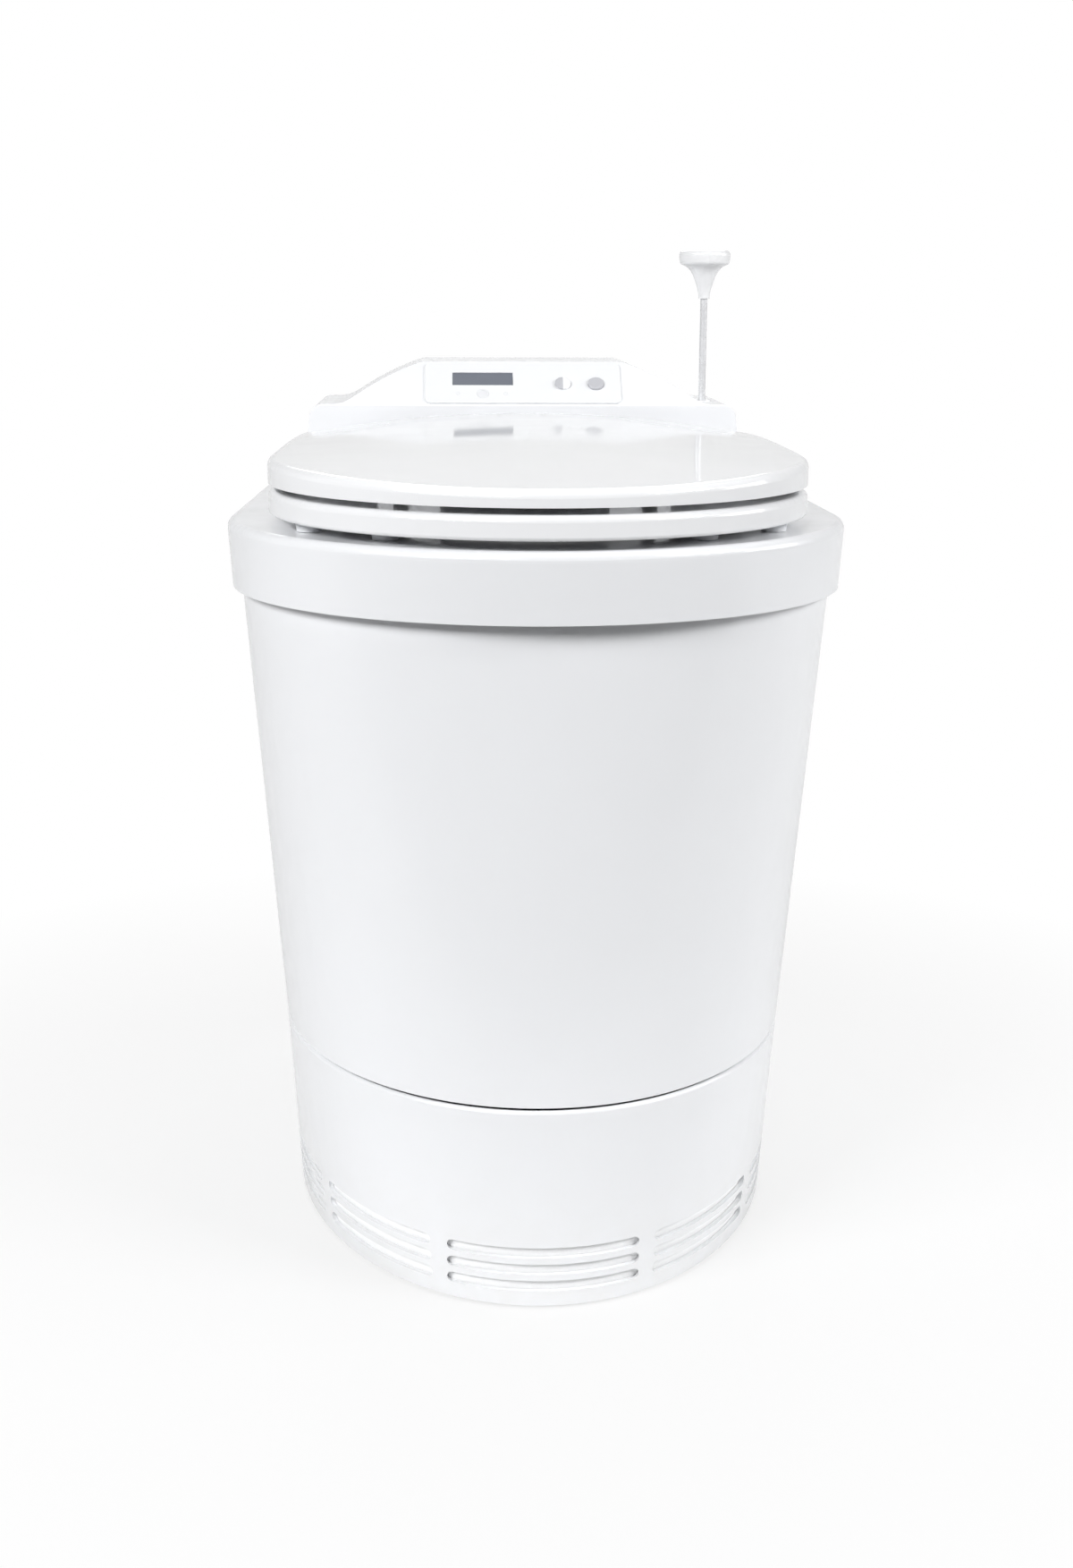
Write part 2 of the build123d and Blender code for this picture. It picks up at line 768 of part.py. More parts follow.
def make_gear_bracket():
    """Sheet bracket under the deck that carries the rear end of the shaft, with the idler's pin."""
    high = deck_top - deck_thickness
    x0, x1 = hatch_axis_x - 16, idler_x + 22
    plate = block(x0, x1, bracket_y, bracket_y + bracket_sheet, hatch_axis_z - 14, high)
    shelf = block(x0, x1, bracket_y, bracket_y + 24, high - bracket_sheet, high)
    plate = fillet(plate.edges().filter_by(Axis.Y).sort_by(Axis.Z)[:2], 10)
    bore = Cylinder(shaft_radius + running_fit, 30, align=low_end)
    bore = along_y(bore, hatch_axis_x, bracket_y - 10, hatch_axis_z)
    window = Pos((x0 + x1) / 2, bracket_y, (idler_z + high) / 2 + 6) * Box(38, 20, 34)
    return plate + shelf - bore - window + make_idler_pin()


def make_rack():
    """Rack bar with straight-sided teeth and a head that takes the rod."""
    tooth = radians(idler_bearing + 180 + 180 / idler_teeth)
    pitch = 2 * pi / idler_teeth
    offset = tooth - pitch * round(tooth / pitch)
    gap_z = idler_z + pitch_radius[idler_teeth] * offset
    step = pi * gear_module
    low, high = idler_z - 2 * step, idler_z + plunger_travel + 2 * step
    root, tip = rack_line_x + dedendum, rack_line_x - addendum
    quarter = step / 4 - gear_backlash / 4
    slope = tan(radians(pressure_angle))
    face = Pos(root + rack_back / 2, (low + high) / 2) * Rectangle(rack_back, high - low)
    for number in range(int((low - gap_z) / step) + 1, int((high - gap_z) / step)):
        middle = gap_z + (number + 0.5) * step
        at_root, at_tip = quarter + dedendum * slope, quarter - addendum * slope
        corners = [(tip, middle - at_tip), (root + 0.5, middle - at_root)]
        corners += [(root + 0.5, middle + at_root), (tip, middle + at_tip)]
        face += Polygon(*corners, align=None)
    bar = upright(face, 0, pinion_y, 0, gear_width)
    head_half = rod_radius + 3
    head = block(rod_x - head_half, rod_x + head_half, rod_y - head_half, rod_y + head_half, high, high + 9)
    return bar + head


rack_top = idler_z + plunger_travel + 2 * pi * gear_module + 9


def make_rod():
    """Polished rod from the rack to the knob."""
    top = knob_top - knob_height * 0.6
    return Pos(rod_x, rod_y, rack_top) * Cylinder(rod_radius, top - rack_top, align=low_end)


def make_knob():
    """Flat round knob that sweeps down to a slim neck, turned as one piece."""
    low, socket = knob_top - knob_height, knob_top - knob_height * 0.6
    neck = (rod_radius + 1.6, low)
    waist = (rod_radius + 4.2, low + 12)
    under = (knob_radius - 2.5, knob_top - 10.5)
    edge = (knob_radius, knob_top - 6)
    top = (knob_radius - 4, knob_top)
    with BuildSketch(Plane.XZ) as profile:
        with BuildLine():
            Polyline((rod_radius, socket), (rod_radius, low), neck)
            Spline([neck, waist, under], tangents=[(0, 1), (1, 0.35)])
            Spline([under, edge, top], tangents=[(1, 0.35), (-1, 0)])
            Polyline(top, (0, knob_top), (0, socket), (rod_radius, socket))
        make_face()
    return Pos(rod_x, rod_y, 0) * revolve(profile.sketch, Axis.Z)


def make_rod_bushes():
    """Flanged bushes that guide the rod, in the console shoulder and in the deck."""
    bushes = []
    for seat, depth in ((shoulder_top, 9.0), (deck_top, 7.0)):
        bush = Cylinder(bush_radius, depth, align=(Align.CENTER, Align.CENTER, Align.MAX))
        bush += Cylinder(bush_flange_radius, bush_flange_thickness, align=low_end)
        bush -= Cylinder(rod_radius + running_fit, 60)
        bushes.append(Pos(rod_x, rod_y, seat) * bush)
    return one_node(bushes)


def make_return_spring():
    """Torsion spring coiled round the right hatch shaft."""
    turns, wire = 7, 0.9
    coil_radius = shaft_radius + wire + 0.5
    pitch = 2 * wire + 0.6
    path = Helix(pitch, pitch * turns, coil_radius)
    section = Plane(path @ 0, z_dir=path % 0) * Circle(wire)
    spring = sweep(section, path, is_frenet=True)
    return along_y(spring, hatch_axis_x, sector_y + gear_width + 6, hatch_axis_z)


# Collar and console

def collar_section(z, shrink=0.0):
    """Outline of the collar rim at a height."""
    lean = collar_draft * max(0.0, deck_top - collar_band - z) / (collar_height - collar_band)
    inset = lean + shrink
    half, reach = overall_width / 2 - inset, collar_reach - inset
    centre_y = collar_front + collar_reach
    rear_y = back_y + collar_overhang - inset
    return outline(half, reach, centre_y, collar_back_half - inset, rear_y, rear_corner - shrink)


def make_collar():
    """Deck with a deep rim, a bowl hole, and a rib inside that sits on the shell."""
    low = deck_top - collar_height
    middle = deck_top - collar_band
    under = deck_top - deck_thickness
    band = Pos(0, 0, middle) * extrude(collar_section(middle), collar_band)
    band = fillet(band.edges().group_by(Axis.Z)[-1], collar_edge_round)
    outer = taper_between(collar_section(low), low, collar_section(middle), middle) + band
    inner = taper_between(collar_section(low, collar_wall), low, collar_section(middle, collar_wall), middle)
    inner += Pos(0, 0, middle) * extrude(collar_section(middle, collar_wall), under - middle)
    rib_face = shell_section(shell_top, -0.5) - shell_section(shell_top, shell_wall + 6)
    rib = extrude(Pos(0, 0, shell_top) * rib_face, under - shell_top + 0.5)
    mouth = Pos(0, bowl_y) * Ellipse(bowl_top_half + bowl_wall + 0.6, bowl_top_reach + bowl_wall + 0.6)
    hole = extrude(Pos(0, 0, low) * mouth, 100)
    rod_hole = Pos(rod_x, rod_y, low) * Cylinder(bush_radius, 100, align=low_end)
    wire_hole = Pos(-60, (console_front_y + console_back_y) / 2, low) * Cylinder(14, 100, align=low_end)
    return outer - inner + rib - hole - rod_hole - wire_hole


def console_profile(shrink=0.0):
    """Front outline of the console: flanks, low shoulders and an ogee up to the flat top."""
    top, low, foot = console_top - shrink, shoulder_top - shrink, deck_top - 1
    flank, shoulder = console_half_base - shrink, console_half_shoulder - shrink
    corner = (shoulder, low - console_corner)
    ledge = (shoulder - 1.1 * console_corner, low)
    ogee = [(x - shrink, low + rise) for x, rise in console_ogee]
    flat = (console_flat_half - shrink, top)
    with BuildSketch() as sketch:
        with BuildLine():
            Line((flank, foot), corner)
            TangentArc(corner, ledge, tangent=(shoulder - flank, low - console_corner - foot))
            Line(ledge, ogee[0])
            Spline(ogee + [flat], tangents=[(-1, 0), (-1, 0.3)])
            Polyline(flat, (0, top), (0, foot), (flank, foot))
        make_face()
        mirror(about=Plane.YZ)
    return sketch.sketch


slant_low = (console_front_y, shoulder_top - 1.5)
slant_high = (console_front_y + console_slant_depth, console_top)
slant_angle = degrees(atan2(slant_high[1] - slant_low[1], slant_high[0] - slant_low[0]))
slant_length = hypot(slant_high[0] - slant_low[0], slant_high[1] - slant_low[1])
panel_plane = Plane(
    origin=(0, (slant_low[0] + slant_high[0]) / 2, (slant_low[1] + slant_high[1]) / 2),
    x_dir=(1, 0, 0),
    z_dir=(0, -sin(radians(slant_angle)), cos(radians(slant_angle))),
)


def console_solid(shrink=0.0):
    """Console body, cut by the slanted face that carries the control panel."""
    front, back = console_front_y + shrink, console_back_y - shrink
    return upright(console_profile(shrink), 0, front, 0, back - front)


def above_slant(shrink=0.0):
    """Space in front of and above the slanted face."""
    return panel_plane * Pos(0, 0, 100 - shrink) * Box(500, 400, 200)


def make_console():
    """Hollow console housing with its slanted face and the openings of the control panel."""
    outer = console_solid() - above_slant()
    below = block(-300, 300, 0, 400, 0, deck_top)
    inner = console_solid(console_wall) - above_slant(console_wall)
    housing = outer - inner - below
    rod_hole = Pos(rod_x, rod_y, deck_top) * Cylinder(bush_radius, 100, align=low_end)
    bush_seat = Pos(rod_x, rod_y, shoulder_top) * Cylinder(bush_flange_radius + slip, 30, align=low_end)
    housing = housing - rod_hole - bush_seat - panel_holes(0.4)
    post = Cylinder(3, board_depth - 1, align=low_end)
    return housing + [panel_place(x, v, -board_depth, post) for x, v in board_posts]


def panel_place(x, v, n, shape):
    """Put a piece on the slanted face: x across, v up the slope, n out of the face."""
    return panel_plane * Pos(x, v, n) * shape


def panel_holes(clearance):
    """Holes through panel and housing for display, buttons and indicators."""
    size = (display_width + 2 * clearance, display_height + 2 * clearance, 30)
    holes = [panel_place(*display_place, 0, Box(*size))]
    for place in (start_place, stop_place):
        holes.append(panel_place(*place, 0, Cylinder(button_radius + clearance, 30)))
    for place in dot_places:
        holes.append(panel_place(*place, 0, Cylinder(dot_radius + clearance, 30)))
    holes.append(panel_place(*ring_place, 0, Cylinder(ring_radius + clearance, 30)))
    return holes


def make_control_panel():
    """Raised plate with round corners on the slanted face."""
    plate = extrude(RectangleRounded(2 * panel_half, slant_length - 4, 5), panel_thickness)
    plate = fillet(plate.edges().group_by(Axis.Z)[-1], 0.6)
    return panel_place(0, 0, 0, plate) - panel_holes(0.15)


def make_display_window():
    """Tinted window, flush in the panel."""
    return panel_place(*display_place, 0, Pos(0, 0, 0.6) * Box(display_width, display_height, 1.2))


def make_circuit_board():
    """Board under the slanted face, with the display module on it."""
    board = Box(2 * panel_half - 8, slant_length - 10, board_thickness, align=low_end)
    module = Box(display_width - 1, display_height - 1, board_depth - 0.2, align=low_end)
    board = panel_place(0, 0, -board_depth - board_thickness, board)
    return board + panel_place(*display_place, -board_depth, module)


def make_button(place):
    """Push button with a domed cap and a flange that keeps it in the housing."""
    high = panel_thickness + button_height
    cap = Cylinder(button_radius, button_depth + high, align=low_end)
    cap = fillet(cap.edges().group_by(Axis.Z)[-1], 0.8)
    flange = Cylinder(button_radius + button_flange, button_depth - console_wall - slip, align=low_end)
    return panel_place(*place, -button_depth, cap + flange)


def make_button_pads():
    """Two rubber domes on the board that push the buttons back."""
    height = board_depth - button_depth - button_travel - slip
    pad = Cone(button_radius - 1, button_radius - 2.5, height, align=low_end)
    return one_node([panel_place(*place, -board_depth, pad) for place in (start_place, stop_place)])


def make_light_guides():
    """Light guides of two dots and of a ring with a sunk middle, on the board."""
    length = board_depth + panel_thickness
    guides = []
    for place in dot_places:
        guides.append(panel_place(*place, -board_depth, Cylinder(dot_radius, length, align=low_end)))
    ring = Cylinder(ring_radius, length, align=low_end)
    ring -= Pos(0, 0, length - 0.4) * Cylinder(ring_radius - 1, 1, align=low_end)
    guides.append(panel_place(*ring_place, -board_depth, ring))
    return one_node(guides)


# Seat and lid

def seat_outline(shrink=0.0, rear_y=seat_back_y):
    """Outline that seat and lid share, up to their own back edges."""
    centre_y = -overall_depth / 2 + seat_reach
    share = (rear_y - centre_y) / (lid_back_y - centre_y)
    back_half = seat_half + share * (seat_back_half - seat_half)
    half, reach = seat_half - shrink, seat_reach - shrink
    return outline(half, reach, centre_y, back_half - shrink, rear_y - shrink, 24 - shrink)


def seat_hole():
    """Oval hole of the seat, longer in front than behind."""
    with BuildSketch() as sketch:
        with BuildLine():
            EllipticalCenterArc((0, bowl_y), seat_hole_half, seat_hole_front, start_angle=180, arc_size=180)
            EllipticalCenterArc((0, bowl_y), seat_hole_half, seat_hole_back, start_angle=0, arc_size=180)
        make_face()
    return sketch.sketch


def hinge_slots():
    """Where lug, seat ear, lid ear and lug lie along each hinge pin: start and end on X."""
    widths = [lug_width, ear_width, ear_width, lug_width]
    start = hinge_x - (sum(widths) + 3 * slip) / 2
    spans = []
    for width in widths:
        spans.append((start, start + width))
        start += width + slip
    return spans


def hinge_barrel(span, radius):
    """Cylinder along X round the hinge axis."""
    length = span[1] - span[0]
    return Pos(span[0], hinge_y, hinge_z) * Rot(0, 90, 0) * Cylinder(radius, length, align=low_end)


def make_seat():
    """Seat ring with round edges and two hinge ears."""
    ring = extrude(seat_outline() - seat_hole(), seat_thickness)
    ring = fillet(ring.edges().group_by(Axis.Z)[-1], seat_edge_round)
    ring = fillet(ring.edges().group_by(Axis.Z)[0], seat_edge_round / 2)
    ring = Pos(0, 0, seat_bottom) * ring
    span = hinge_slots()[1]
    low, high = seat_bottom + 3, seat_bottom + seat_thickness - 1
    ear = block(span[0], span[1], seat_back_y - 8, hinge_y, low, high)
    ear += hinge_barrel(span, hinge_barrel_radius)
    bore = hinge_barrel((span[0] - 1, span[1] + 1), hinge_pin_radius)
    return ring + both_sides(ear) - both_sides(bore)


def lid_crest(y):
    """Height of the lid's top along its middle line."""
    share = (y + overall_depth / 2) / (lid_back_y + overall_depth / 2)
    return lid_front_top + share * (lid_back_top - lid_front_top) + 2.5 * sin(pi * share)


def lid_dome(drop):
    """Solid under the crowned top of the lid, lowered by drop."""
    half = seat_half + 10
    sections = []
    for y, crown in lid_crowns.items():
        middle = lid_crest(y) - drop
        with BuildSketch(Plane.XZ.offset(-y)) as sketch:
            with BuildLine():
                ThreePointArc((-half, middle - crown), (0, middle), (half, middle - crown))
                Polyline((half, middle - crown), (half, 470), (-half, 470), (-half, middle - crown))
            make_face()
        sections.append(sketch.sketch)
    return loft(sections)


def make_lid():
    """Crowned lid, hollow underneath, notched behind for the hinges, with two ears."""
    tall = 60
    plan = Pos(0, 0, lid_bottom) * extrude(seat_outline(0, lid_back_y), tall)
    solid = plan & lid_dome(0)
    edge = [e for e in solid.edges() if e.bounding_box().min.Z > lid_bottom + 3]
    edge = [e for e in edge if e.bounding_box().size.Z < 12 or e.bounding_box().size.Y > 20]
    solid = fillet(edge, lid_round)
    cavity = Pos(0, 0, lid_bottom - 1) * extrude(seat_outline(lid_wall, lid_back_y), tall)
    solid -= cavity & lid_dome(lid_wall)
    spans = hinge_slots()
    low, high = spans[0][0] - notch_margin, spans[3][1] + notch_margin
    notch = block(low, high, hinge_y, lid_back_y + 1, lid_bottom - 1, hinge_z + 25)
    ear_span = spans[2]
    web = block(ear_span[0], ear_span[1], hinge_y - 7, hinge_y + 8, hinge_z, lid_back_top)
    web = (web & lid_dome(lid_wall / 2)) + hinge_barrel(ear_span, hinge_barrel_radius)
    bore = hinge_barrel((ear_span[0] - 1, ear_span[1] + 1), hinge_pin_radius + running_fit)
    return solid - both_sides(notch) + both_sides(web) - both_sides(bore)


def make_hinge_brackets():
    """Two brackets on the deck, each with two lugs."""
    spans = hinge_slots()
    lugs = [spans[0], spans[3]]
    low, high = spans[0][0] - bracket_margin, spans[3][1] + bracket_margin
    bracket = block(low, high, hinge_y - 18, hinge_y + 16, deck_top, deck_top + bracket_base)
    bracket = fillet(bracket.edges().filter_by(Axis.Z), 5)
    front, back = hinge_y - hinge_barrel_radius, hinge_y + hinge_barrel_radius
    for lug in lugs:
        bracket += block(lug[0], lug[1], front, back, deck_top, hinge_z)
        bracket += hinge_barrel(lug, hinge_barrel_radius)
    bracket -= hinge_barrel((spans[0][0] - 1, spans[3][1] + 1), hinge_pin_radius + running_fit)
    return one_node(both_sides(bracket))


def make_hinge_pins():
    """Two hinge pins with a low head, pressed into the seat's ears, that turn in the lugs."""
    spans = hinge_slots()
    head = spans[3][1] + slip
    pin = hinge_barrel((spans[0][0], head), hinge_pin_radius)
    pin += hinge_barrel((head, head + 1.5), hinge_pin_radius + 1.8)
    return one_node(both_sides(pin))


def make_seat_bumpers():
    """Four rubber bumpers under the seat."""
    height = seat_bottom - deck_top - slip
    pads = []
    for x, y in seat_bumper_places:
        pad = Pos(x, y, deck_top + slip) * Cone(7.5, 8.5, height, align=low_end)
        pads += both_sides(pad)
    return one_node(pads)


def make_lid_bumpers():
    """Four rubber pads under the lid rim."""
    centre_y = -overall_depth / 2 + seat_reach
    low = seat_bottom + seat_thickness + slip
    pads = []
    for y in (centre_y + 20, centre_y + 140):
        edge = seat_half + (seat_back_half - seat_half) * (y - centre_y) / (lid_back_y - centre_y)
        middle = edge - lid_wall / 2
        pad = block(middle - 1.6, middle + 1.6, y - 9, y + 9, low, lid_bottom)
        pads += both_sides(pad)
    return one_node(pads)


# Flue and back panel

def ring_profile(points):
    """Turned piece round the flue axis from radius and Y pairs."""
    face = Polygon(*points, align=None)
    return Pos(0, 0, flue_z) * revolve(face, Axis.Y)


catalyst_back = catalyst_front + catalyst_sleeve + 14 + catalyst_length
fan_front = catalyst_back + 1
fan_back = fan_front + fan_length
spigot_end = overall_depth / 2


def make_catalyst_can():
    """Turned can: sleeve over the stub, cone, drum."""
    sleeve = duct_radius + slip
    wall = duct_wall
    y0, y1 = catalyst_front, catalyst_front + catalyst_sleeve
    y2, y3 = y1 + 14, catalyst_back
    outside = [(sleeve + wall, y0), (sleeve + wall, y1), (catalyst_radius, y2), (catalyst_radius, y3)]
    inside = [(catalyst_radius - wall, y3), (catalyst_radius - wall, y2), (sleeve, y1), (sleeve, y0)]
    return ring_profile(outside + inside)


def make_catalyst_core():
    """Ceramic core with a grid of square channels."""
    radius = catalyst_radius - duct_wall - 0.4
    face = Circle(radius)
    cell, pitch = 6.0, 9.0
    for row in range(-4, 5):
        for column in range(-4, 5):
            if hypot(row, column) * pitch < radius - cell:
                face -= Pos(row * pitch, column * pitch) * Rectangle(cell, cell)
    return along_y(extrude(face, catalyst_length - 8), 0, catalyst_back - catalyst_length + 4, flue_z)


def make_fan_housing():
    """Round duct with a reducing ring in front and four vanes that carry the motor."""
    wall = fan_wall
    ring = [
        (catalyst_radius - 4, fan_front),
        (fan_radius, fan_front),
        (fan_radius, fan_back),
        (fan_radius - wall, fan_back),
        (fan_radius - wall, fan_front + wall),
        (catalyst_radius - 4, fan_front + wall),
    ]
    housing = ring_profile(ring)
    vane_low, vane_high = fan_back - 28, fan_back - 6
    for quarter in range(4):
        vane = block(fan_hub_radius + 0.2, fan_radius - 0.5, vane_low, vane_high, -1, 1)
        housing += Pos(0, 0, flue_z) * Rot(0, 45 + 90 * quarter, 0) * vane
    hub = along_y(tube(fan_hub_radius + 2, fan_hub_radius, vane_high - vane_low), 0, vane_low, flue_z)
    return housing + hub


def make_fan_motor():
    """Motor in the middle of the vanes, with its shaft to the front."""
    body = along_y(Cylinder(fan_hub_radius - 0.1, 36, align=low_end), 0, fan_back - 38, flue_z)
    body = fillet(body.edges().filter_by(GeomType.CIRCLE), 1.5)
    return body + along_y(Cylinder(3, 34, align=low_end), 0, fan_back - 70, flue_z)


def make_impeller():
    """Fan wheel with twisted blades on a domed hub."""
    hub_length = 24
    start = fan_back - 66
    tip = fan_radius - fan_wall - fan_tip_gap
    hub = Cylinder(fan_hub_radius, hub_length, align=low_end)
    hub = fillet(hub.edges().group_by(Axis.Z)[0], 6)
    blades = []
    outward = Rot(0, 90, 0)
    root_face = Pos(fan_hub_radius - 1.5, 0, hub_length / 2) * outward * Rot(0, 0, 38) * Rectangle(1.6, 24)
    tip_face = Pos(tip, 0, hub_length / 2) * outward * Rot(0, 0, 58) * Rectangle(1.6, 26)
    blade = loft([root_face, tip_face], ruled=True)
    for number in range(fan_blades):
        blades.append(Rot(0, 0, number * 360 / fan_blades) * blade)
    wheel = hub + blades - Cylinder(3 + running_fit, 200)
    return along_y(wheel, 0, start, flue_z)


def make_spigot():
    """Flue spigot with a flange on the fan housing and a chamfered end that a duct slides over."""
    r0, r1 = spigot_radius - spigot_wall, spigot_radius
    step_y = back_y + back_panel_thickness + 1
    points = [
        (r0, fan_back),
        (fan_radius, fan_back),
        (fan_radius, fan_back + 2),
        (r1 - 0.8, fan_back + 2),
        (r1 - 0.8, step_y),
        (r1, step_y),
        (r1, spigot_end - 1.5),
        (r1 - 1, spigot_end),
        (r0, spigot_end),
    ]
    return ring_profile(points)


def make_saddles():
    """Two saddles welded to the fire box deck under the catalyst and the fan."""
    saddles = []
    places = ((catalyst_back - 40, catalyst_radius), (fan_front + 30, fan_radius))
    for y, radius in places:
        saddle = block(-34, 34, y, y + 14, shell_bottom, flue_z - radius * 0.72)
        saddles.append(saddle - along_y(Cylinder(radius, 400, align=low_end), 0, -100, flue_z))
    return saddles


def make_back_panel():
    """Service panel with louvres, flue hole, inlet hole and screw holes."""
    half, low, high = back_opening_half + back_panel_margin, back_opening_bottom, back_opening_top
    low, high = low - back_panel_margin, high + back_panel_margin
    plate = RectangleRounded(2 * half, high - low, 8)
    middle = (low + high) / 2
    plate -= Pos(0, flue_z - middle) * Circle(spigot_radius + 2.2)
    plate -= Pos(inlet_x, inlet_z - middle) * Rectangle(28.6, 20.6)
    for row in range(9):
        for side in (-1, 1):
            plate -= Pos(side * 62, high - middle - 30 - row * 9) * SlotOverall(72, 3.6)
    for x, z in screw_places():
        plate -= Pos(x, z - middle) * Circle(2)
    return upright(plate, 0, back_y, middle, back_panel_thickness)


def screw_places():
    """Centres of the back panel screws."""
    half = back_opening_half + back_panel_margin / 2
    low, high = back_opening_bottom - back_panel_margin / 2, back_opening_top + back_panel_margin / 2
    places = []
    for z in (low + 4, (low + high) / 2, high - 4):
        places += [(-half, z), (half, z)]
    return places


def make_back_screws():
    """Pan-head screws of the back panel."""
    screws = []
    face = back_y + back_panel_thickness
    for x, z in screw_places():
        head = Cylinder(screw_head_radius, screw_head_height, align=low_end)
        head = fillet(head.edges().group_by(Axis.Z)[-1], 1.2) - Pos(0, 0, 1.2) * Box(1, 5, 3, align=low_end)
        shank = Pos(0, 0, -back_panel_thickness) * Cylinder(1.9, back_panel_thickness, align=low_end)
        screws.append(along_y(head + shank, x, face, z))
    return one_node(screws)


def make_power_inlet():
    """Recessed mains inlet with three flat pins, on the back panel."""
    face = back_y + back_panel_thickness
    body = RectangleRounded(28, 20, 3)
    flange = RectangleRounded(48, 26, 5)
    recess = RectangleRounded(24, 16.4, 2.5)
    inlet = Pos(0, 0, -22) * extrude(body, 22) + extrude(flange, 1.8)
    inlet -= Pos(0, 0, -16) * extrude(recess, 30)
    for x, v in ((-7, -2.4), (0, 2.4), (7, -2.4)):
        inlet += Pos(x, v, -16.5) * Box(2, 4, 13.5, align=low_end)
    return along_y(inlet, inlet_x, face, inlet_z)


def make_power_supply():
    """Boxed power supply on the inside of the back panel."""
    box = block(-120, -20, back_y - 52, back_y, 268, 320)
    box = fillet(box.edges().filter_by(Axis.Y), 2)
    grooves = [block(-112 + 10 * n, -108 + 10 * n, back_y - 53, back_y - 50, 276, 312) for n in range(9)]
    return box - grooves


nodes = {
    "floor_pan": make_floor_pan(),
    "rubber_feet": make_feet(),
    "chassis_channels": make_chassis_channels(),
    "firebox_deck": make_firebox_deck(),
    "body_shell": make_body_shell(),
    "drawer_front": make_drawer_front(),
    "rear_skirt": make_rear_skirt(),
    "ash_pan": make_ash_pan(),
    "drawer_slides": make_drawer_slides(),
    "drawer_bracket": make_drawer_bracket(),
    "fire_chamber": make_fire_chamber(),
    "insulation": make_insulation(),
    "heat_shield": make_heat_shield(),
    "firebox_cover": make_firebox_cover(),
    "fire_grate": make_grate(),
    "heating_element": make_heater(),
    "heater_terminal": make_heater_terminal(),
    "temperature_probe": make_probe(),
    "bowl": make_bowl(),
    "bowl_gasket": make_bowl_gasket(),
    "hatch_frame": make_hatch_frame(),
    "hatch_right": make_hatch(1),
    "hatch_left": make_hatch(-1),
    "hatch_shaft_right": make_shaft(1, bracket_y + bracket_sheet + 2),
    "hatch_shaft_left": make_shaft(-1, sector_y + gear_width + 3),
    "sector_right": make_sector(1),
    "sector_left": make_sector(-1),
    "pinion": make_pinion(),
    "idler_gear": make_idler(),
    "gear_bracket": make_gear_bracket(),
    "rack_bar": make_rack(),
    "plunger_rod": make_rod(),
    "plunger_knob": make_knob(),
    "rod_bushes": make_rod_bushes(),
    "return_spring": make_return_spring(),
    "collar": make_collar(),
    "console_housing": make_console(),
    "control_panel": make_control_panel(),
    "display_window": make_display_window(),
    "circuit_board": make_circuit_board(),
    "start_button": make_button(start_place),
    "stop_button": make_button(stop_place),
    "button_pads": make_button_pads(),
    "light_guides": make_light_guides(),
    "seat_ring": make_seat(),
    "lid": make_lid(),
    "hinge_brackets": make_hinge_brackets(),
    "hinge_pins": make_hinge_pins(),
    "seat_bumpers": make_seat_bumpers(),
    "lid_bumpers": make_lid_bumpers(),
    "catalyst_can": make_catalyst_can(),
    "catalyst_core": make_catalyst_core(),
    "fan_housing": make_fan_housing(),
    "fan_motor": make_fan_motor(),
    "fan_impeller": make_impeller(),
    "flue_spigot": make_spigot(),
    "back_panel": make_back_panel(),
    "back_screws": make_back_screws(),
    "power_inlet": make_power_inlet(),
    "power_supply": make_power_supply(),
}

os.makedirs("parts", exist_ok=True)
for name, shape in nodes.items():
    export_step(shape, f"parts/{name}.step")
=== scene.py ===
import bpy
import bmesh
from math import cos, pi, radians, sin
from mathutils import Matrix, Vector
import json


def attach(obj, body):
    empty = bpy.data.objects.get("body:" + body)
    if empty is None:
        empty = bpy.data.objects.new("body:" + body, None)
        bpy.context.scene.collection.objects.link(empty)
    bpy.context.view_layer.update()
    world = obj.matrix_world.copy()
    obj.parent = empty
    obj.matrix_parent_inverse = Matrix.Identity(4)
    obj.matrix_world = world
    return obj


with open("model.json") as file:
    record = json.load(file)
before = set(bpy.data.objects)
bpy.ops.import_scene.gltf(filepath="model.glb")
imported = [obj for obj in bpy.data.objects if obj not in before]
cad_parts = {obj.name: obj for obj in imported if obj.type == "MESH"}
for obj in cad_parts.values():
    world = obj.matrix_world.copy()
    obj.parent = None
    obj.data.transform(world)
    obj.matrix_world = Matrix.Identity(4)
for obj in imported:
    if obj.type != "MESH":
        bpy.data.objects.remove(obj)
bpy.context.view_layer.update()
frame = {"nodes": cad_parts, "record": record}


# Materials: small helpers that build node trees

